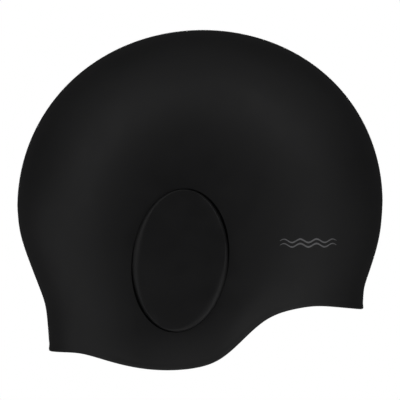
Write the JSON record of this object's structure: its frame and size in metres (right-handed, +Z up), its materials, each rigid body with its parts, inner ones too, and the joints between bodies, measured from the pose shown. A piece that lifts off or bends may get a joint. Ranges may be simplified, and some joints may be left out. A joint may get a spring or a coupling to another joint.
{
  "type": "swim cap",
  "caption": "Moulded silicone swim cap: a deep dome with a hollow oval pocket over each ear, flaps that dip below the ears and a rounded hem. It keeps hair and ears dry in the pool.",
  "frame": {"origin": "inside of the crown, where the top of the wearer's head bears", "axes": "+X to the forehead, +Y to the wearer's left, +Z up"},
  "size_m": [0.2195, 0.1664, 0.202],
  "materials": {
    "silicone": "matte moulded black silicone"
  },
  "bodies": {
    "root": {"cap_shell": "silicone"}
  },
  "joints": []
}
